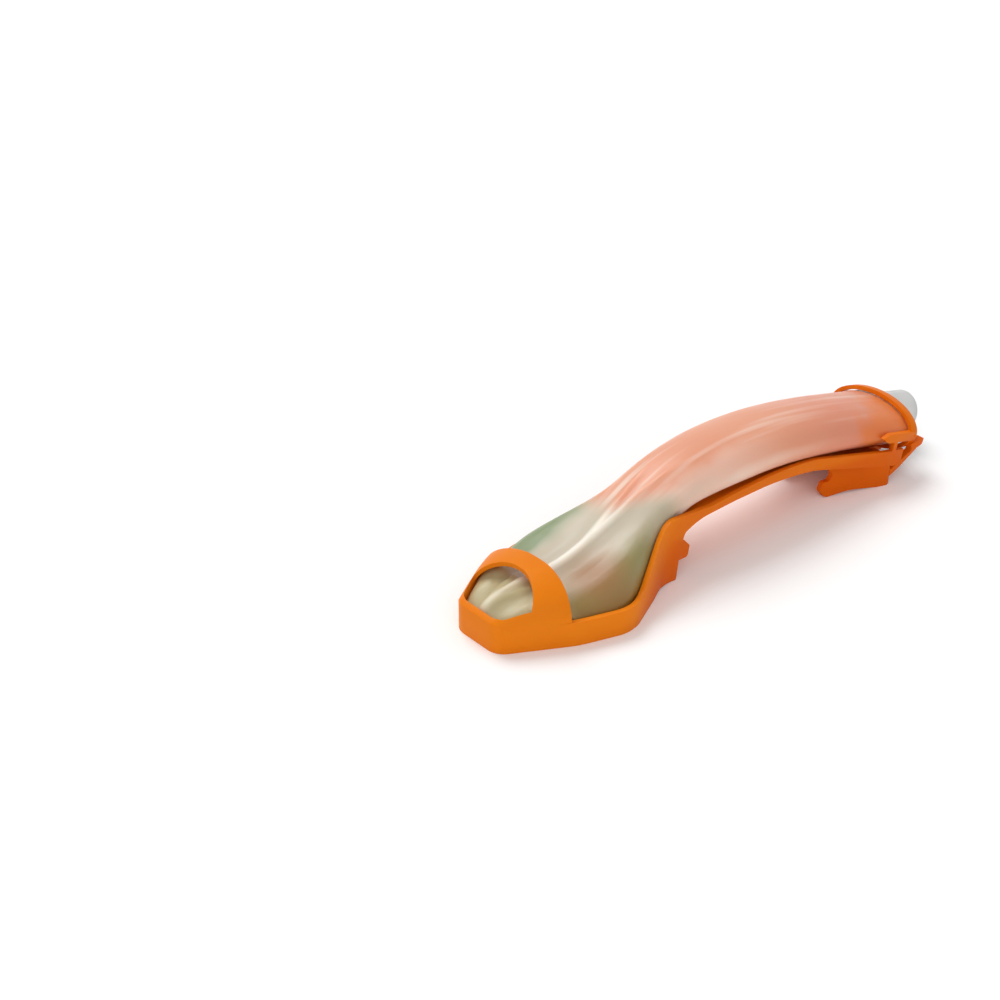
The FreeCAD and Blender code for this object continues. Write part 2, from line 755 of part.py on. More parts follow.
# How square the section is above and below its widest line: 2 is an oval
TOP_POWER = [(0, 2.4), (0.28, 3.0), (0.38, 3.6), (0.47, 3.2), (0.57, 2.8), (0.67, 2.6), (0.90, 2.15)]
LOW_POWER = [(0, 2.6), (0.40, 3.4), (0.76, 2.8)]
STEM_TOP_POWER, STEM_LOW_POWER = 2.15, 2.3
SPREAD = [(TIP, 0.72), (TIP + 0.012, 0.92), (TIP + 0.05, 1.0)]
LIFT = [(TIP, 1.4), (TIP + 0.05, 0.2), (0.18, 0.0), (0.70, 0.0), (0.80, 0.5)]
RIDGE = [(0, 0.2), (0.30, 0.8), (0.60, 0.6), (0.80, 0.0)]
# Places along the stem as shares of its line, then places ahead of its end with the end's share
STEM_STATIONS = (0.24, 0.44, 0.66)
END_STATIONS = ((14.0, 0.5), (5.0, 1.0), (0.0, 1.0))


def cuff_rings(crown_top):
    rings = []
    for share in CUFF_STATIONS:
        x = share * S["cuff_long"].number
        low = floor_height(x) + S["soft_gap"].number + blend(share, LIFT)
        top = blend(share, CREST) * crown_top
        waist = low + (top - low) * blend(share, WAIST)
        ridge = blend(share, RIDGE)
        rings.append(ring_of_poles(
            Vector(x, 0, waist), 0, room_inside(x) * blend(share, SPREAD), top - waist - ridge / 2,
            waist - low, blend(share, TOP_POWER), blend(share, LOW_POWER), ridge))
    return rings


def stem_rings():
    tall, wide = S["stem_half_tall"].number, S["stem_half_wide"].number
    end_wide, end_tall = S["end_half_wide"].number, S["end_half_tall"].number
    path = rounded_path(stem_path(0)[1:], [S["rear_arch"].number + stem_lift.number])
    spots = path.discretize(Distance=STEM_STEP)
    rings = []
    # The widest line lies a little below the middle, so that the gel fills the gutter
    drop = tall / 9
    for share in STEM_STATIONS:
        index = round(share * (len(spots) - 1))
        run = spots[index + 1] - spots[index - 1]
        tilt = -math.atan2(run.z, run.x)
        down = Vector(-math.sin(tilt), 0, -math.cos(tilt)) * drop
        low = tall - drop - S["arch_gap"].number
        rings.append(ring_of_poles(spots[index] + down, tilt, wide, tall + drop, low,
                                   STEM_TOP_POWER, STEM_LOW_POWER))
    tilt = math.radians(S["tail_angle"].number)
    back = unit(spots[-1], spots[-2])
    for behind, share in END_STATIONS:
        half_tall = tall + (end_tall - tall) * share
        rings.append(ring_of_poles(
            spots[-1] + back * behind, tilt, wide + (end_wide - wide) * share,
            half_tall, half_tall))
    return rings


def soft_body():
    crown_top = S["crown_height"].number + stem_lift.number + S["stem_half_tall"].number
    return skin_solid(cuff_rings(crown_top) + stem_rings())


def channel(points, diameter):
    """A round channel of straight runs that meet in mitres."""
    path = Part.makePolygon(points)
    ring = Part.Wire(Part.Circle(points[0], unit(points[0], points[1]), diameter / 2).toShape())
    return path.makePipeShell([ring], True, False, 1)


def along_stem(beside, end):
    """Points that follow the stem's line from the top of the ramp to its end."""
    line = stem_path(beside)
    crown, bend = line[1], line[2]
    inside = S["stem_half_tall"].number / 7
    return [crown + Vector(inside * 4, 0, -inside), bend - ALONG_Z * inside, end]


def build_airway():
    tilt = math.radians(S["tail_angle"].number)
    along = Vector(math.cos(tilt), 0, -math.sin(tilt))
    end = Vector(hoop_x.number, 0, hoop_z.number)
    deep = S["sleeve_long"].number + 1
    loose = S["sleeve_gap"].number
    # The pocket that takes the connector's sleeve
    oval = Part.Ellipse(Vector(), S["sleeve_half_wide"].number + loose,
                        S["sleeve_half_tall"].number + loose)
    pocket = Part.Face(Part.Wire(oval.toShape())).extrude(Vector(0, 0, deep + 4))
    pocket.Placement = FreeCAD.Placement(end - along * deep, FreeCAD.Rotation(
        ALONG_Y, Vector(math.sin(tilt), 0, math.cos(tilt)), along, "ZXY"))
    # The bowl, open downwards, with the breathing channel rising from its back
    half, deep_bowl = S["bowl_wide"].number / 2, S["bowl_deep"].number
    bowl_round = (half ** 2 + deep_bowl ** 2) / (2 * deep_bowl)
    straight = S["bowl_long"].number - S["bowl_wide"].number
    front = Vector(S["bowl_at"].number - straight / 2, 0,
                   S["floor_thick"].number + S["soft_gap"].number + deep_bowl - bowl_round)
    bowl = Part.makeCylinder(bowl_round, straight, front, ALONG_X)
    for centre in (front, front + ALONG_X * straight):
        bowl = bowl.fuse(Part.makeSphere(bowl_round, centre))
    inner_end = end - along * (deep - 2)
    beside = S["airway_offset"].number
    throat = Vector(S["throat_at"].number, beside, S["throat_height"].number)
    bowl_at = Vector(S["bowl_at"].number, 0, 0)
    mouth = bowl_at + Vector(straight * 0.4, beside, S["floor_thick"].number + 1)
    airway_channel = channel(
        [mouth, throat] + along_stem(beside, inner_end + ALONG_Y * beside),
        S["airway_bore"].number)
    # The narrow channel from the cuff tip, round the bowl and up the near side
    beside = -S["gastric_offset"].number
    bore = S["gastric_bore"].number
    level = S["gastric_height"].number
    tip = Vector(S["cuff_tip_at"].number, 0, level)
    round_bowl = Vector(0, -(half + bore * 1.25), level + bore / 4)
    gastric_channel = channel(
        [tip - ALONG_X * bore, tip + Vector(bore * 2, -bore / 2, 0),
         bowl_at + round_bowl - ALONG_X * straight / 2,
         bowl_at + round_bowl + Vector(straight * 0.7, 0, bore / 4),
         Vector(throat.x - bore, beside - 1, throat.z - bore)]
        + along_stem(beside, inner_end + ALONG_Y * beside), bore)
    return soft_body().cut([pocket, bowl, airway_channel, gastric_channel])


airway = doc.addObject("Part::Feature", "airway_body")
airway.Label = "airway_body"
airway.Shape = build_airway()


# Everything is moved so that the origin lies under the middle of the whole part

reach = hoop_x + cone_tip * cosine(S["tail_angle"]) + S["cone_end"] / 2 * sine(S["tail_angle"])
middle = reach / 2
bind(cradle, Placement__Base__x=-middle)
connector.Placement = hoop_place
connector.setExpression("Placement.Rotation.Angle", f"{S['tail_angle'].text} * 1deg")
bind(connector, Placement__Base__x=hoop_x - middle, Placement__Base__z=hoop_z)
airway.Placement = FreeCAD.Placement(Vector(-middle.number, 0, 0), FreeCAD.Rotation())
doc.recompute()

for thing in doc.Objects:
    if {"Invalid", "Error"} & set(thing.State):
        raise RuntimeError(f"{thing.Name} could not be built: {thing.State}")

os.makedirs("parts", exist_ok=True)
for node in (airway, connector, cradle):
    shape = node.Shape
    if shape.isNull() or not shape.isValid():
        raise RuntimeError(f"{node.Label} has no sound shape")
    shape.exportStep(f"parts/{node.Label}.step")
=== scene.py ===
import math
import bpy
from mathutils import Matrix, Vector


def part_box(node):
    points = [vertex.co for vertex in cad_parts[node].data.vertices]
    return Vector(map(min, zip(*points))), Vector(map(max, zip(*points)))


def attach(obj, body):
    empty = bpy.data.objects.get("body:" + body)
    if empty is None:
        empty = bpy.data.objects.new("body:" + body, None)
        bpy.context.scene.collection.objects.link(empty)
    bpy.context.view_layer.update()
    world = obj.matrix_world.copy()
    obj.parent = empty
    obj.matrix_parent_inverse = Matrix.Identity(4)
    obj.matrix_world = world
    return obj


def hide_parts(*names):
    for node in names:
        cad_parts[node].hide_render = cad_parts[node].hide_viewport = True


bl_info = {
    "name": "Supraglottic Airway",
    "version": (1, 0, 0),
    "blender": (4, 5, 0),
    "location": "View3D > Sidebar > Airway",
    "description": "A soft airway with its connector, lying in a moulded cradle, on a pale table",
    "category": "Object",
}

import bpy
from bpy.props import FloatProperty, FloatVectorProperty, PointerProperty
from mathutils import Vector
from mathutils.bvhtree import BVHTree

MM = 0.001

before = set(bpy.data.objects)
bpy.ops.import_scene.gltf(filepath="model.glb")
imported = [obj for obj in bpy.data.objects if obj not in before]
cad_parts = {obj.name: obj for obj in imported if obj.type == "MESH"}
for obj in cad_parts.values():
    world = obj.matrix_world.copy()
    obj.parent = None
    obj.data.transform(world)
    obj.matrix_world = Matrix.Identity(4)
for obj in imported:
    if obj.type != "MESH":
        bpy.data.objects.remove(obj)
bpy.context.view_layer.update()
BODY = "root"

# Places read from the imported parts, in metres
CRADLE_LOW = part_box("protective_cradle")[0]
SOFT_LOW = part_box("airway_body")[0]
NOSE_X = CRADLE_LOW.x
TABLE_Z = min(CRADLE_LOW.z, SOFT_LOW.z)

# Facets that meet at less than these angles are merged, or shaded as one smooth face
FLAT = math.radians(1.5)
SHARP_EDGE = math.radians(34)
GEL_EDGE = math.radians(50)

# The cuff's tip fills out most. It ends between these places, in millimetres from the nose
TIP_ENDS = (14, 26)
# How far off the gel looks for its cradle, at its sides and at its tip, in millimetres
SIDE_REACH = 3
TIP_REACH = 8
# No channel in the gel is wider than this, in millimetres
WIDEST_CHANNEL = 12
# Rounds of averaging: the more, the softer the gel's edges and its swelling
EDGE_ROUNDS = 24
SWELL_ROUNDS = 20
# The crest of the folds splits where x times the spread passes the split, in millimetres
# from the nose, and its two branches then lie that far from the middle
CREST_SPREAD = 0.12
CREST_SPLIT = 5.6

# The camera: millimetres from the nose, its lens and sensor in millimetres, and degrees
CAMERA_PLACE = (-358.5, -437.9, 393.4)
CAMERA_LENS = 76.69
CAMERA_SENSOR = 36.0
CAMERA_DOWN = 31.0
CAMERA_ROUND = -40.11
# The table's own light, for the eye alone, so that it shows white
TABLE_GLOW = 0.04


def paint(code):
    """Turns an sRGB hex value into Blender's linear colour."""
    shades = [int(code[i:i + 2], 16) / 255 for i in (1, 3, 5)]
    linear = [c / 12.92 if c <= 0.04045 else ((c + 0.055) / 1.055) ** 2.4 for c in shades]
    return (*linear, 1.0)


# Settings of a sum: the first value times the second, plus the third
SCALE_AND_ADD = {"operation": "MULTIPLY_ADD"}


def add(tree, kind, settings=None, inputs=None, output=0):
    """Adds a node with its settings and its inputs, each a value or another node's output."""
    made = tree.nodes.new(kind)
    for name, value in (settings or {}).items():
        setattr(made, name, value)
    for name, value in (inputs or {}).items():
        if isinstance(value, bpy.types.NodeSocket):
            tree.links.new(value, made.inputs[name])
        else:
            made.inputs[name].default_value = value
    return made.outputs[output]


def new_material(name):
    """An empty node material, with its output node."""
    material = bpy.data.materials.new(name)
    material.use_nodes = True
    tree = material.node_tree
    tree.nodes.clear()
    return material, tree, tree.nodes.new("ShaderNodeOutputMaterial")


def colour_property(name, words, code):
    """A colour that the user can change, with its sRGB hex value as the default."""
    return FloatVectorProperty(name=name, description=words, subtype="COLOR", size=4,
                               min=0.0, max=1.0, default=paint(code))


class SoftBodySettings(bpy.types.PropertyGroup):
    tip: colour_property("Tip", "The gel under the hood's window", "#BDB28A")
    cuff: colour_property("Cuff", "The gel in the middle of the cuff", "#CCC1AC")
    edge: colour_property("Cuff's edge", "The gel near the tray's walls", "#988F5E")
    base: colour_property("Cuff's foot", "The gel low down, over the tray's floor", "#92712A")
    far_edge: colour_property("Cuff's thin edge", "The thinner gel at its far side", "#87966E")
    # Painted highlight: a near-white laid on the folds' crest and in streaks on the stem
    painted_highlight: colour_property("Ridge", "The folds along the cuff", "#FBF3E6")
    glow: colour_property("Glow", "The cuff where the channel's mouth lies under it", "#A4703F")
    stem: colour_property("Stem", "The stem, warmed by the gutter under it", "#E49E7E")
    stem_rear: colour_property("Stem's end", "The stem over its bite block", "#DC8C6E")
    # Painted light: the paler colour laid on the stem's near flank
    stem_near_painted_light: colour_property("Stem's side", "The stem's flank, paler", "#F4D0BE")
    hoop_glow: colour_property("Hoop's glow", "The stem's end, with the hoop behind it", "#E47A30")
    fold_height: FloatProperty(name="Fold height", description="Height of the cuff's folds",
                               unit="LENGTH", default=1.2 * MM)
    tip_fullness: FloatProperty(name="Tip fullness", description="How far the tip is filled out",
                                unit="LENGTH", default=2.0 * MM)
    side_fullness: FloatProperty(name="Side fullness", description="How far the sides fill out",
                                 unit="LENGTH", default=1.8 * MM)
    wall_gap: FloatProperty(name="Wall gap", description="Room left between gel and cradle",
                            unit="LENGTH", default=0.3 * MM)
    skin_grid: FloatProperty(name="Skin grid", description="Size of the skin's even facets",
                             unit="LENGTH", default=0.75 * MM)


class CradleSettings(bpy.types.PropertyGroup):
    # Painted light and shade: the plastic colour is the lit orange, the deep one the painted shade
    # of the panels and foot
    colour: colour_property("Plastic", "The tray and its hood, thin and lit through", "#EC8312")
    painted_shade: colour_property("Deep plastic", "The panels, foot and hoop, thick", "#D85C00")
    edge_round: FloatProperty(name="Edge rounding", description="Radius of the moulded edges",
                              unit="LENGTH", default=0.35 * MM)
    rim_drop: FloatProperty(name="Far rim's drop", description="How much lower the far rim sits",
                            unit="LENGTH", default=1.4 * MM)


class ConnectorSettings(bpy.types.PropertyGroup):
    colour: colour_property("Plastic", "The connector's clear plastic", "#E2E2E0")
    edge_round: FloatProperty(name="Edge rounding", description="Radius of the moulded edges",
                              unit="LENGTH", default=0.4 * MM)


class StageSettings(bpy.types.PropertyGroup):
    table_half: FloatProperty(name="Table", description="Half the table's width",
                              unit="LENGTH", default=3.0)
    key_strength: FloatProperty(name="Key light", description="Strength of the light overhead",
                                default=1.6)
    fill_strength: FloatProperty(name="Fill light", description="Strength of the light in front",
                                 default=0.65)
    sky: FloatProperty(name="Sky", description="Strength of the even light all round", default=0.5)


def place_in_mm(tree):
    """Object coordinates in millimetres, with x counted from the cradle's nose."""
    place = add(tree, "ShaderNodeTexCoord", output="Object")
    return add(tree, "ShaderNodeMapping", {"vector_type": "POINT"},
               {"Vector": place, "Location": (-NOSE_X / MM, 0, 0),
                "Scale": (1 / MM, 1 / MM, 1 / MM)})


def share_where(tree, *ranges):
    """The product of shares that change smoothly while a value goes from start to end.
    A range is (value, start, end), for none to all, or also the share at each end."""
    product = None
    for one in ranges:
        value, start, end, first, last = (*one, 0.0, 1.0)[:5]
        share = add(tree, "ShaderNodeMapRange", {"interpolation_type": "SMOOTHSTEP"},
                    {"Value": value, "From Min": start, "From Max": end,
                     "To Min": first, "To Max": last})
        product = share if product is None else add(
            tree, "ShaderNodeMath", {"operation": "MULTIPLY"}, {0: product, 1: share})
    return product


def layered(tree, under, over, *ranges):
    """Lays one colour over another, by the share that the ranges give."""
    return add(tree, "ShaderNodeMix", {"data_type": "RGBA"},
               {0: share_where(tree, *ranges), 6: under, 7: over}, 2)


def cuff_colour(tree, look, in_mm, clouds):
    """The cuff's gel: pale in the middle, green at its thin far edge, olive over the floor, with a
    painted highlight along the folds' crest.
    """
    x = add(tree, "ShaderNodeSeparateXYZ", inputs={0: in_mm})
    y, z = x.node.outputs[1], x.node.outputs[2]
    beside = add(tree, "ShaderNodeMath", {"operation": "ABSOLUTE"}, {0: y})
    edge = layered(tree, look.edge, look.base, (z, 17.0, 8.0))
    edge = layered(tree, look.far_edge, edge, (y, 3.0, -5.0))
    wobble = add(tree, "ShaderNodeMath", SCALE_AND_ADD, {0: clouds, 1: 5.0, 2: beside})
    # The far side by the hood is thinner still
    by_hood = share_where(tree, (x, 52.0, 30.0), (y, 0.0, 6.0), (beside, 9.0, 16.0))
    at_edge = add(tree, "ShaderNodeMath", {"operation": "ADD"},
                  {0: by_hood, 1: share_where(tree, (wobble, 11.0, 21.0))})
    cuff = add(tree, "ShaderNodeMix", {"data_type": "RGBA"},
               {0: at_edge, 6: look.cuff, 7: edge}, 2)
    cuff = layered(tree, cuff, look.tip, (x, 28.0, 18.0))
    # The warm patch over the channel's mouth, on the near side of the ridge
    patch = add(tree, "ShaderNodeVectorMath", {"operation": "DISTANCE"},
                {0: in_mm, 1: (40.0, -13.5, 13.5)}, "Value")
    cuff = layered(tree, cuff, look.glow, (patch, 17.0, 2.0, 0.0, 0.85))
    # Painted highlight along the folds' crest, 2 mm wide, and along its two branches further back
    branch = add(tree, "ShaderNodeMath", SCALE_AND_ADD,
                 {0: x, 1: CREST_SPREAD, 2: -CREST_SPLIT})
    branch = add(tree, "ShaderNodeMath", {"operation": "MAXIMUM"}, {0: branch, 1: 0.0})
    off_crest = add(tree, "ShaderNodeMath", {"operation": "SUBTRACT"}, {0: beside, 1: branch})
    off_crest = add(tree, "ShaderNodeMath", {"operation": "ABSOLUTE"}, {0: off_crest})
    return layered(tree, cuff, look.painted_highlight, (off_crest, 2.6, 0.3), (x, 84.0, 42.0, 0.0, 0.85),
                   (x, 14.0, 32.0, 0.4, 1.0))


def stem_colour(tree, look, in_mm, clouds, streaks_and_sheen):
    """The stem's gel: warmed by the gutter under it, with painted light on its near flank and a
    streaked painted highlight, both fullest towards the cuff.
    """
    x = add(tree, "ShaderNodeSeparateXYZ", inputs={0: in_mm})
    y = x.node.outputs[1]
    stem = layered(tree, look.stem, look.stem_rear, (x, 120.0, 165.0))
    # Painted light on the stem's near flank, fading out towards the stem's end
    flank = add(tree, "ShaderNodeMath", SCALE_AND_ADD, {0: clouds, 1: -5.0, 2: y})
    stem = layered(tree, stem, look.stem_near_painted_light, (flank, -8.0, -14.0, 0.0, 0.75),
                   (x, 135.0, 90.0))
    # Painted highlight in streaks along the stem, fullest towards the cuff
    stem = layered(tree, stem, look.painted_highlight, (streaks_and_sheen, 0.46, 0.76, 0.0, 0.6),
                   (x, 165.0, 95.0, 0.4, 1.0))
    # The hoop and the gutter's end show through the last 15 mm, in torn patches
    behind = add(tree, "ShaderNodeMath", SCALE_AND_ADD, {0: clouds, 1: 1.6, 2: -0.8})
    behind = add(tree, "ShaderNodeMath", SCALE_AND_ADD, {0: x, 1: 0.06, 2: behind})
    behind = add(tree, "ShaderNodeMath", SCALE_AND_ADD, {0: y, 1: -0.08, 2: behind})
    return layered(tree, stem, look.hoop_glow, (behind, 10.7, 11.7, 0.0, 0.85))


def elastomer_material(look):
    """Thermoplastic elastomer, moulded: a soft clear gel with a faint milkiness.
    Light goes far into it, so what lies under it tints it, and its skin has a satin gloss."""
    material, tree, out = new_material("thermoplastic_elastomer_moulded")
    in_mm = place_in_mm(tree)
    # Clouds about 12 mm across, as the gel is never quite even
    clouds = add(tree, "ShaderNodeTexNoise", {"noise_dimensions": "3D"},
                 {"Vector": in_mm, "Scale": 0.08, "Detail": 2.0, "Roughness": 0.5})
    # Streaks along the stem, 80 mm long and 4 mm wide: a faint relief, and where the painted
    # highlight lies
    stretched = add(tree, "ShaderNodeMapping", {"vector_type": "POINT"},
                    {"Vector": in_mm, "Scale": (0.0125, 0.25, 0.03)})
    streaks_and_sheen = add(tree, "ShaderNodeTexNoise", {"noise_dimensions": "3D"},
                  {"Vector": stretched, "Scale": 1.0, "Detail": 2.0, "Roughness": 0.45})

    # The gutter's rounded end shows at the stem's front, later on the near side
    x = add(tree, "ShaderNodeSeparateXYZ", inputs={0: in_mm})
    near = add(tree, "ShaderNodeMath", {"operation": "MINIMUM"},
               {0: x.node.outputs[1], 1: 0.0})
    reached = add(tree, "ShaderNodeMath", SCALE_AND_ADD, {0: near, 1: 1.3, 2: x})
    colour = layered(tree, cuff_colour(tree, look, in_mm, clouds),
                     stem_colour(tree, look, in_mm, clouds, streaks_and_sheen), (reached, 55.0, 66.0))

    # A roughness under 0.3 shows stains with crisp edges once the render's noise is taken out
    roughness = add(tree, "ShaderNodeMapRange", {},
                    {"Value": clouds, "From Min": 0.3, "From Max": 0.7,
                     "To Min": 0.3, "To Max": 0.42})
    bump = add(tree, "ShaderNodeBump", {},
               {"Height": streaks_and_sheen, "Strength": 0.5, "Distance": 0.6 * MM})
    shader = add(tree, "ShaderNodeBsdfPrincipled", {},
                 {"Base Color": colour, "Roughness": roughness, "Normal": bump, "IOR": 1.4,
                  "Subsurface Weight": 0.85,
                  "Subsurface Radius": (1.0, 0.8, 0.65), "Subsurface Scale": 5 * MM})
    tree.links.new(shader, out.inputs["Surface"])
    return material


def orange_plastic_material(look):
    """Polypropylene, injection moulded: a satin skin, slightly see-through where it is thin, with
    painted light on the tray and hood and painted shade on the panels and foot.
    """
    material, tree, out = new_material("polypropylene_orange_moulded")
    place = add(tree, "ShaderNodeTexCoord", output="Object")
    along = add(tree, "ShaderNodeSeparateXYZ", inputs={0: place_in_mm(tree)})
    high = along.node.outputs[2]
    # Painted light: the tray at the nose, and further back what stands higher, is painted in the
    # lighter orange, the panels behind it in painted shade
    past_tray = add(tree, "ShaderNodeMath", SCALE_AND_ADD, {0: high, 1: -1.2, 2: along})
    # Painted light on the spine and the hoop, 13 to 18 mm up, at up to half strength; thin is the
    # share of painted light
    thin = add(tree, "ShaderNodeMath", {"operation": "MAXIMUM"},
               {0: share_where(tree, (past_tray, 64.0, 36.0)),
                1: share_where(tree, (high, 13.0, 18.0, 0.0, 0.5))})
    # Flow marks about 16 mm across, faint
    flow = add(tree, "ShaderNodeTexNoise", {"noise_dimensions": "3D"},
               {"Vector": place, "Scale": 60.0, "Detail": 2.0, "Roughness": 0.5})
    # The share of painted light over painted shade, with the faint flow marks added
    light = add(tree, "ShaderNodeMath", SCALE_AND_ADD, {0: thin, 1: 0.8, 2: -0.02})
    light = add(tree, "ShaderNodeMath", SCALE_AND_ADD, {0: flow, 1: 0.24, 2: light})
    colour = add(tree, "ShaderNodeMix", {"data_type": "RGBA"},
                 {0: light, 6: look.painted_shade, 7: look.colour}, 2)
    # Spark-eroded grain: real grain is 0.1 mm, drawn at 0.4 mm so that it shows
    grain = add(tree, "ShaderNodeTexNoise", {"noise_dimensions": "3D"},
                {"Vector": place, "Scale": 2500.0, "Detail": 1.0})
    roughness = add(tree, "ShaderNodeMapRange", {},
                    {"Value": grain, "From Min": 0.3, "From Max": 0.7,
                     "To Min": 0.36, "To Max": 0.5})
    bump = add(tree, "ShaderNodeBump", {},
               {"Height": grain, "Strength": 0.2, "Distance": 0.02 * MM})
    shader = add(tree, "ShaderNodeBsdfPrincipled", {},
                 {"Base Color": colour, "Roughness": roughness, "Normal": bump, "IOR": 1.49,
                  "Specular IOR Level": 0.08, "Subsurface Weight": 0.15,
                  "Subsurface Radius": (1.0, 0.4, 0.05), "Subsurface Scale": 1.5 * MM})
    tree.links.new(shader, out.inputs["Surface"])
    return material


def clear_plastic_material(look):
    """Polypropylene without pigment, moulded: milky and see-through, with a smooth gloss."""
    material, tree, out = new_material("polypropylene_clear_moulded")
    place = add(tree, "ShaderNodeTexCoord", output="Object")
    # Milkiness in clouds about 6 mm across
    milk = add(tree, "ShaderNodeTexNoise", {"noise_dimensions": "3D"},
               {"Vector": place, "Scale": 160.0, "Detail": 2.0})
    roughness = add(tree, "ShaderNodeMapRange", {},
                    {"Value": milk, "From Min": 0.3, "From Max": 0.7,
                     "To Min": 0.3, "To Max": 0.4})
    shader = add(tree, "ShaderNodeBsdfPrincipled", {},
                 {"Base Color": look.colour, "Roughness": roughness, "IOR": 1.49,
                  "Transmission Weight": 0.5})
    tree.links.new(shader, out.inputs["Surface"])
    return material


def only(thing):
    """Makes this object the one that operators act on."""
    bpy.ops.object.select_all(action="DESELECT")
    thing.select_set(True)
    bpy.context.view_layer.objects.active = thing


def copy_of_node(node, name):
    """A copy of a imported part's mesh as a new object, with its doubled corners merged."""
    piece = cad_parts[node].copy()
    piece.data = piece.data.copy()
    piece.name = name
    piece.data.name = name
    piece.parent = None
    for key in list(piece.keys()):
        del piece[key]
    bpy.context.scene.collection.objects.link(piece)
    only(piece)
    bpy.ops.object.mode_set(mode="EDIT")
    bpy.ops.mesh.select_all(action="SELECT")
    bpy.ops.mesh.remove_doubles(threshold=0.004 * MM)
    bpy.ops.object.mode_set(mode="OBJECT")
    return piece


def round_edges(piece, radius):
    """Merges flat triangles, then rounds the sharp edges."""
    only(piece)
    bpy.ops.object.mode_set(mode="EDIT")
    bpy.ops.mesh.select_all(action="SELECT")
    bpy.ops.mesh.dissolve_limited(angle_limit=FLAT)
    bpy.ops.object.mode_set(mode="OBJECT")
    rounding = piece.modifiers.new("rounding", "BEVEL")
    rounding.width = radius
    rounding.segments = 3
    rounding.limit_method = "ANGLE"
    rounding.angle_limit = SHARP_EDGE
    rounding.use_clamp_overlap = True
    bpy.ops.object.modifier_apply(modifier=rounding.name)
    bpy.ops.object.shade_smooth_by_angle(angle=SHARP_EDGE)


def outer_points(piece):
    """The points that are not in a channel: their normals meet no other wall of the piece."""
    mesh = piece.data
    skin = BVHTree.FromPolygons([v.co for v in mesh.vertices], [p.vertices for p in mesh.polygons])
    return [v.index for v in mesh.vertices
            if skin.ray_cast(v.co + v.normal * 0.1 * MM, v.normal,
                             WIDEST_CHANNEL * MM)[3] is None]


def even_skin(piece, grid):
    """Gives a moulded soft solid one even skin, with its sharp edges softened."""
    only(piece)
    remesh = piece.modifiers.new("even_skin", "REMESH")
    remesh.mode = "VOXEL"
    remesh.voxel_size = grid
    bpy.ops.object.modifier_apply(modifier=remesh.name)
    outside = piece.vertex_groups.new(name="outside")
    outside.add(outer_points(piece), 1.0, "REPLACE")
    smooth = piece.modifiers.new("soft_edges", "SMOOTH")
    smooth.vertex_group = outside.name
    smooth.factor = 0.5
    smooth.iterations = EDGE_ROUNDS
    bpy.ops.object.modifier_apply(modifier=smooth.name)
    piece.vertex_groups.clear()


def settle_far_rim(piece, drop):
    """Lets the rim on the far side of the gel sit lower, where the swollen gel hides it:
    all that is 26 to 90 mm from the nose, past 10 mm to that side and 4 mm up."""
    for point in piece.data.vertices:
        x, y, z = (point.co.x - NOSE_X) / MM, point.co.y / MM, point.co.z / MM
        share = faded(-x, -34, -26) * faded(x, 80, 90) * faded(-y, -13, -10) * faded(-z, -7, -4)
        point.co.z -= share * drop


def bell(distance, width):
    """One at no distance, a third at the width, and nearly none at twice the width."""
    return math.exp(-(distance / width) ** 2)


def faded(value, start, end):
    """One before the start, none after the end, and a smooth fall between."""
    share = min(1.0, max(0.0, (end - value) / (end - start)))
    return share * share * (3 - 2 * share)


def fold(x, y):
    """The cuff's folds seen from above, millimetres from the nose, as shares of their height."""
    branch = max(0.0, CREST_SPREAD * x - CREST_SPLIT)
    crest = bell(abs(y) - branch, 1.5) * faded(x, 60, 95)
    tip_folds = 0.55 * bell(abs(y) - 0.22 * x, 1.1) * faded(x, 18, 32)
    valleys = 0.9 * bell(abs(y) - branch - 6, 3.5) * faded(x, 45, 75)
    shoulders = 0.9 * bell(abs(y) - 18, 6) * faded(x, 72, 92) * faded(-x, -42, -28)
    return crest + tip_folds - valleys + shoulders


def raise_folds(piece, height):
    """Moves the upper skin of the cuff into the folds that run from its tip.
    Walls and undersides keep their place."""
    points = piece.data.vertices
    lifts = []
    for point in points:
        upward = max(0.0, point.normal.z)
        x, y = (point.co.x - NOSE_X) / MM, point.co.y / MM
        lifts.append(fold(x, y) * upward ** 2 * height if upward > 0.2 else 0.0)
    for point, lift in zip(points, lifts):
        point.co.z += lift


def fill_cradle(piece, cradle, look):
    """Swells the gel out to its cradle, which it rests against, and most of all at the tip.
    Where no wall is near, it may follow its neighbours by half as much."""
    mesh = piece.data
    walls = BVHTree.FromPolygons([v.co for v in cradle.data.vertices],
                                 [p.vertices for p in cradle.data.polygons])
    swell, room = [], []
    for point in mesh.vertices:
        at_tip = faded((point.co.x - NOSE_X) / MM, *TIP_ENDS)
        most = look.side_fullness + (look.tip_fullness - look.side_fullness) * at_tip
        reach = (SIDE_REACH + (TIP_REACH - SIDE_REACH) * at_tip) * MM
        distance = walls.ray_cast(point.co, point.normal, reach)[3]
        if distance is None:
            swell.append(0.5 * most * at_tip)
            room.append(0.5 * most)
        else:
            room.append(max(0.0, min(distance - look.wall_gap, most)))
            swell.append(room[-1])
    near = [[index] for index in range(len(swell))]
    for edge in mesh.edges:
        first, second = edge.vertices
        near[first].append(second)
        near[second].append(first)
    for _ in range(SWELL_ROUNDS):
        swell = [min(limit, sum(swell[i] for i in others) / len(others))
                 for limit, others in zip(room, near)]
    moves = [point.normal * amount * faded(-point.normal.z, 0.3, 0.8)
             for point, amount in zip(mesh.vertices, swell)]
    for point, move in zip(mesh.vertices, moves):
        point.co += move


def finish_piece(piece, material, node):
    """Gives a piece its material and its body, and hides the part that it stands for."""
    piece.data.materials.clear()
    piece.data.materials.append(material)
    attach(piece, BODY)
    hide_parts(node)


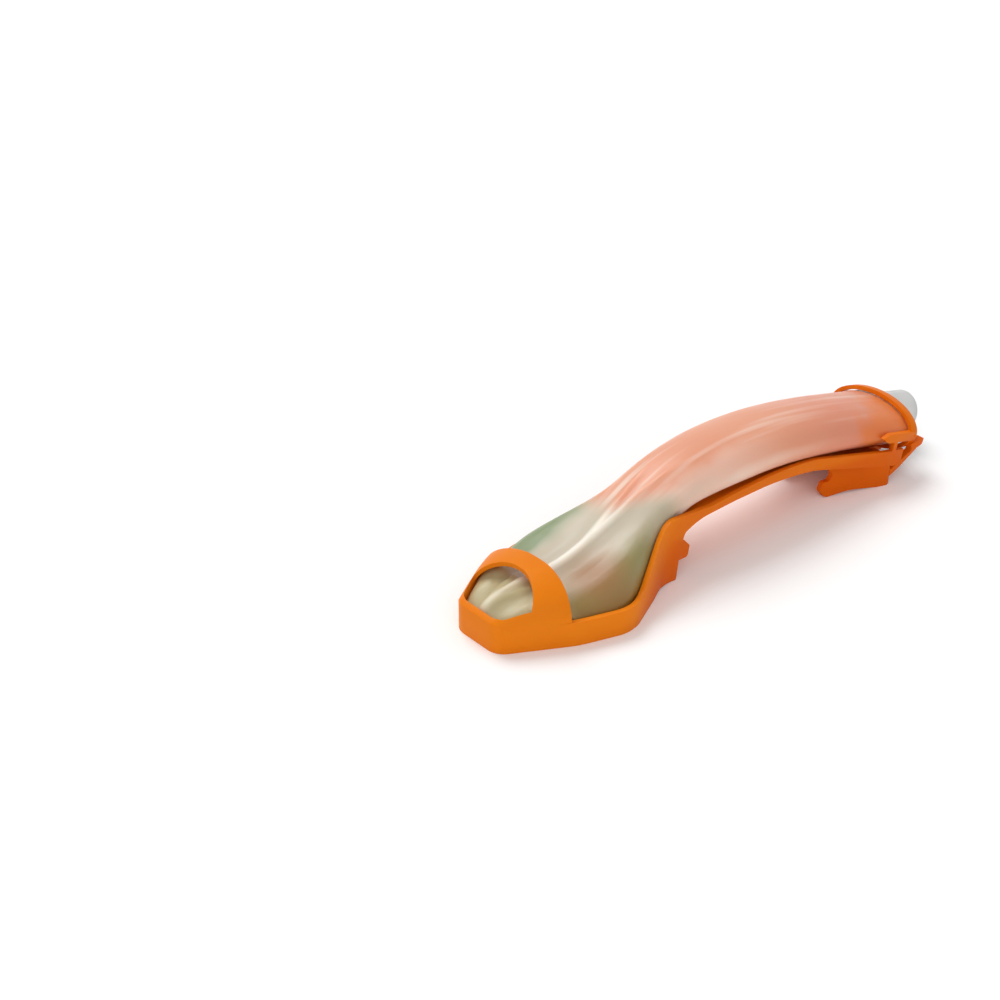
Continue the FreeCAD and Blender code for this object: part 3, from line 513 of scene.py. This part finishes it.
class AIRWAY_OT_soft_body(bpy.types.Operator):
    """Makes the soft airway: cuff, stem and channels, in translucent gel"""
    bl_idname = "airway.soft_body"
    bl_label = "Soft body"

    def execute(self, context):
        look = context.scene.airway_soft_body
        piece = copy_of_node("airway_body", "soft_airway_body")
        even_skin(piece, look.skin_grid)
        fill_cradle(piece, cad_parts["protective_cradle"], look)
        raise_folds(piece, look.fold_height)
        only(piece)
        bpy.ops.object.shade_smooth_by_angle(angle=GEL_EDGE)
        finish_piece(piece, elastomer_material(look), "airway_body")
        return {"FINISHED"}


class AIRWAY_OT_cradle(bpy.types.Operator):
    """Makes the moulded cradle with rounded edges"""
    bl_idname = "airway.cradle"
    bl_label = "Cradle"

    def execute(self, context):
        look = context.scene.airway_cradle
        piece = copy_of_node("protective_cradle", "moulded_cradle")
        settle_far_rim(piece, look.rim_drop)
        round_edges(piece, look.edge_round)
        finish_piece(piece, orange_plastic_material(look),
                     "protective_cradle")
        return {"FINISHED"}


class AIRWAY_OT_connector(bpy.types.Operator):
    """Makes the connector: cone, oval flange and sleeve"""
    bl_idname = "airway.connector"
    bl_label = "Connector"

    def execute(self, context):
        look = context.scene.airway_connector
        piece = copy_of_node("connector", "clear_connector")
        round_edges(piece, look.edge_round)
        finish_piece(piece, clear_plastic_material(look), "connector")
        return {"FINISHED"}


def directly_seen(tree):
    """One for the rays of the camera, of a gloss and through clear plastic, none for the rest."""
    seen = add(tree, "ShaderNodeLightPath", output="Is Camera Ray")
    rays = seen.node.outputs
    for kind in ("Is Glossy Ray", "Is Transmission Ray"):
        seen = add(tree, "ShaderNodeMath", {"operation": "ADD", "use_clamp": True},
                   {0: seen, 1: rays[kind]})
    return seen


def white_table_material():
    """White laminate, matt: it keeps the shadows, and the eye sees it as white."""
    material, tree, out = new_material("white_table")
    glow = add(tree, "ShaderNodeMath", {"operation": "MULTIPLY"},
               {0: directly_seen(tree), 1: TABLE_GLOW})
    matte = add(tree, "ShaderNodeBsdfDiffuse", {}, {"Color": paint("#FDFDFD")})
    glow = add(tree, "ShaderNodeEmission", {}, {"Color": paint("#FFFFFF"), "Strength": glow})
    both = add(tree, "ShaderNodeAddShader", {}, {0: matte, 1: glow})
    tree.links.new(both, out.inputs["Surface"])
    return material


def even_light(strength):
    """A world that lights evenly from all round, and that the eye sees as white."""
    world = bpy.data.worlds.new("even_light")
    world.use_nodes = True
    tree = world.node_tree
    tree.nodes.clear()
    strength = add(tree, "ShaderNodeMapRange", {},
                   {"Value": directly_seen(tree), "To Min": strength, "To Max": 1.0})
    back = add(tree, "ShaderNodeBackground", {},
               {"Color": paint("#FFFFFF"), "Strength": strength})
    out = tree.nodes.new("ShaderNodeOutputWorld")
    tree.links.new(back, out.inputs["Surface"])
    return world


def photograph_camera():
    """The photograph's camera, placed from the edges of the cradle that run alike."""
    camera = bpy.data.cameras.new("camera")
    camera.lens = CAMERA_LENS
    camera.sensor_width = CAMERA_SENSOR
    camera.clip_start = 0.01
    camera.clip_end = 20.0
    stand = bpy.data.objects.new("camera", camera)
    stand.location = Vector((NOSE_X, 0, 0)) + Vector(CAMERA_PLACE) * MM
    stand.rotation_euler = (math.radians(90 - CAMERA_DOWN), 0, math.radians(CAMERA_ROUND))
    return stand


class AIRWAY_OT_stage(bpy.types.Operator):
    """Makes the table, the lamps, the even light all round and the camera"""
    bl_idname = "airway.stage"
    bl_label = "Stage"

    def execute(self, context):
        look = context.scene.airway_stage
        bpy.ops.object.select_all(action="DESELECT")
        bpy.ops.mesh.primitive_plane_add(size=2 * look.table_half, location=(0, 0, TABLE_Z))
        table = bpy.context.object
        table.name = "table"
        table.data.materials.append(white_table_material())

        # Soft lamps far away, each with its spread in degrees, light the table evenly
        for name, strength, spread, place in (
                ("key_lamp", look.key_strength, 35, Vector((0.05, 0.65, 0.95))),
                ("fill_lamp", look.fill_strength, 60, Vector((-0.7, -0.9, 0.7)))):
            bpy.ops.object.light_add(type="SUN", location=place)
            lamp = bpy.context.object
            lamp.name = name
            lamp.data.energy = strength
            lamp.data.angle = math.radians(spread)
            lamp.rotation_euler = (-place).to_track_quat("-Z", "Y").to_euler()

        context.scene.world = even_light(look.sky)
        context.scene.camera = photograph_camera()
        context.scene.collection.objects.link(context.scene.camera)
        context.scene.view_settings.view_transform = "Standard"
        return {"FINISHED"}


class AIRWAY_PT_panel(bpy.types.Panel):
    """Lists the pieces and the stage"""
    bl_idname = "AIRWAY_PT_panel"
    bl_label = "Supraglottic airway"
    bl_space_type = "VIEW_3D"
    bl_region_type = "UI"
    bl_category = "Airway"

    def draw(self, context):
        scene = context.scene
        for settings, operator in (
                (scene.airway_soft_body, AIRWAY_OT_soft_body),
                (scene.airway_cradle, AIRWAY_OT_cradle),
                (scene.airway_connector, AIRWAY_OT_connector),
                (scene.airway_stage, AIRWAY_OT_stage)):
            box = self.layout.box()
            for name in settings.__annotations__:
                box.prop(settings, name)
            box.operator(operator.bl_idname)


SETTINGS = {
    "airway_soft_body": SoftBodySettings,
    "airway_cradle": CradleSettings,
    "airway_connector": ConnectorSettings,
    "airway_stage": StageSettings,
}
OPERATORS = (
    AIRWAY_OT_stage,
    AIRWAY_OT_cradle,
    AIRWAY_OT_connector,
    AIRWAY_OT_soft_body,
)


def register():
    for name, group in SETTINGS.items():
        bpy.utils.register_class(group)
        setattr(bpy.types.Scene, name, PointerProperty(type=group))
    for operator in OPERATORS:
        bpy.utils.register_class(operator)
    bpy.utils.register_class(AIRWAY_PT_panel)


def unregister():
    bpy.utils.unregister_class(AIRWAY_PT_panel)
    for operator in reversed(OPERATORS):
        bpy.utils.unregister_class(operator)
    for name, group in SETTINGS.items():
        delattr(bpy.types.Scene, name)
        bpy.utils.unregister_class(group)


def main():
    register()
    bpy.ops.airway.stage()
    bpy.ops.airway.cradle()
    bpy.ops.airway.connector()
    bpy.ops.airway.soft_body()


if __name__ == "__main__":
    main()
